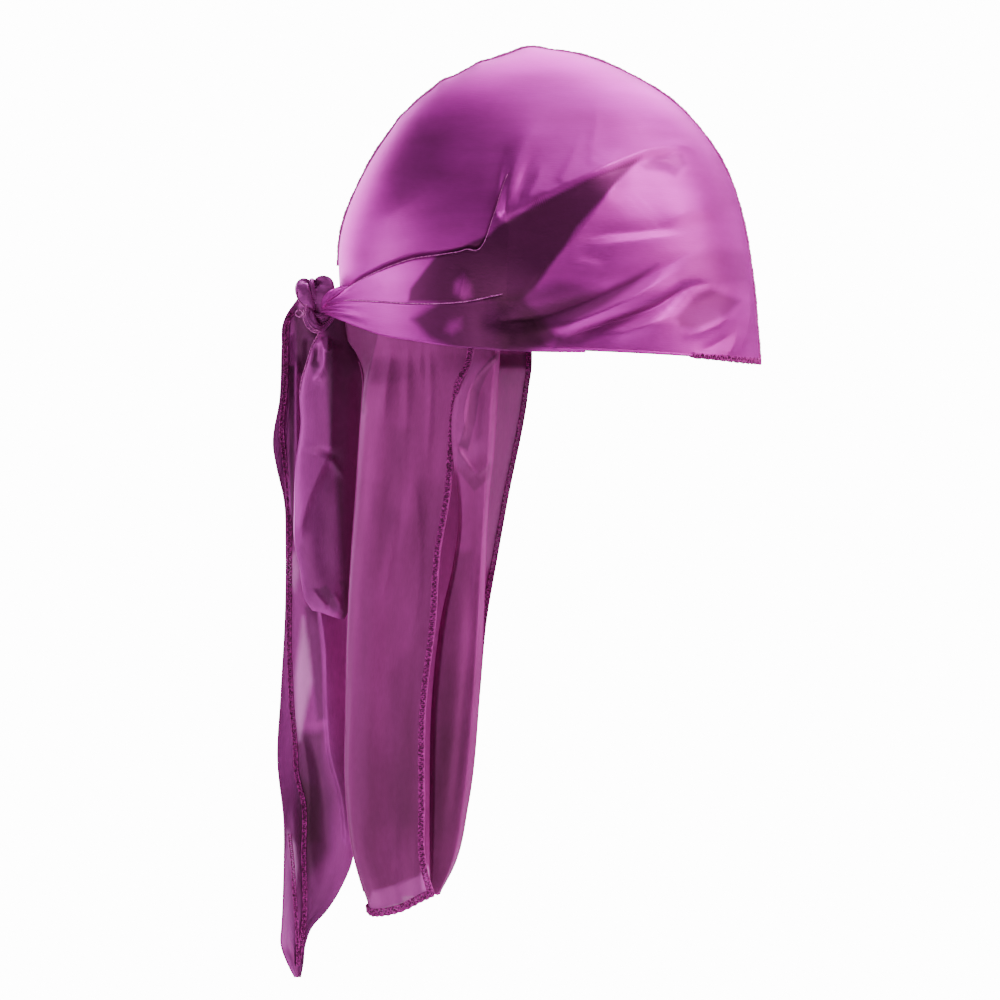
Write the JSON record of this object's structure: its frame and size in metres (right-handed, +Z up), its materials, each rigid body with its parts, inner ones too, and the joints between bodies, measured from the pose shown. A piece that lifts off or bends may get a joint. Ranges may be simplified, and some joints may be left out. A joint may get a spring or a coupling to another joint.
{
  "type": "durag",
  "caption": "Thin satin durag tied behind the head: domed two-panel crown with a raised middle seam, wrapped straps, knot with a hanging loop and tie ends, long nape flap.",
  "frame": {"origin": "middle of the head opening, level with the lowest line of the crown at the brow's height; the mount head", "axes": "+X points forward to the brow, +Y to the wearer's left, +Z up"},
  "size_m": [0.2289, 0.1586, 0.4371],
  "materials": {
    "satin": "thin shiny satin weave, slightly see-through in one layer",
    "thread": "overlocked thread, matt"
  },
  "bodies": {
    "root": {"crown_right": "satin", "crown_left": "satin", "middle_seam": "thread", "brow_hem": "thread", "strap_right": "satin", "strap_left": "satin", "knot": "satin", "nape_flap": "satin", "tie_loop": "satin", "tie_end_long": "satin", "tie_end_short": "satin"}
  },
  "joints": []
}
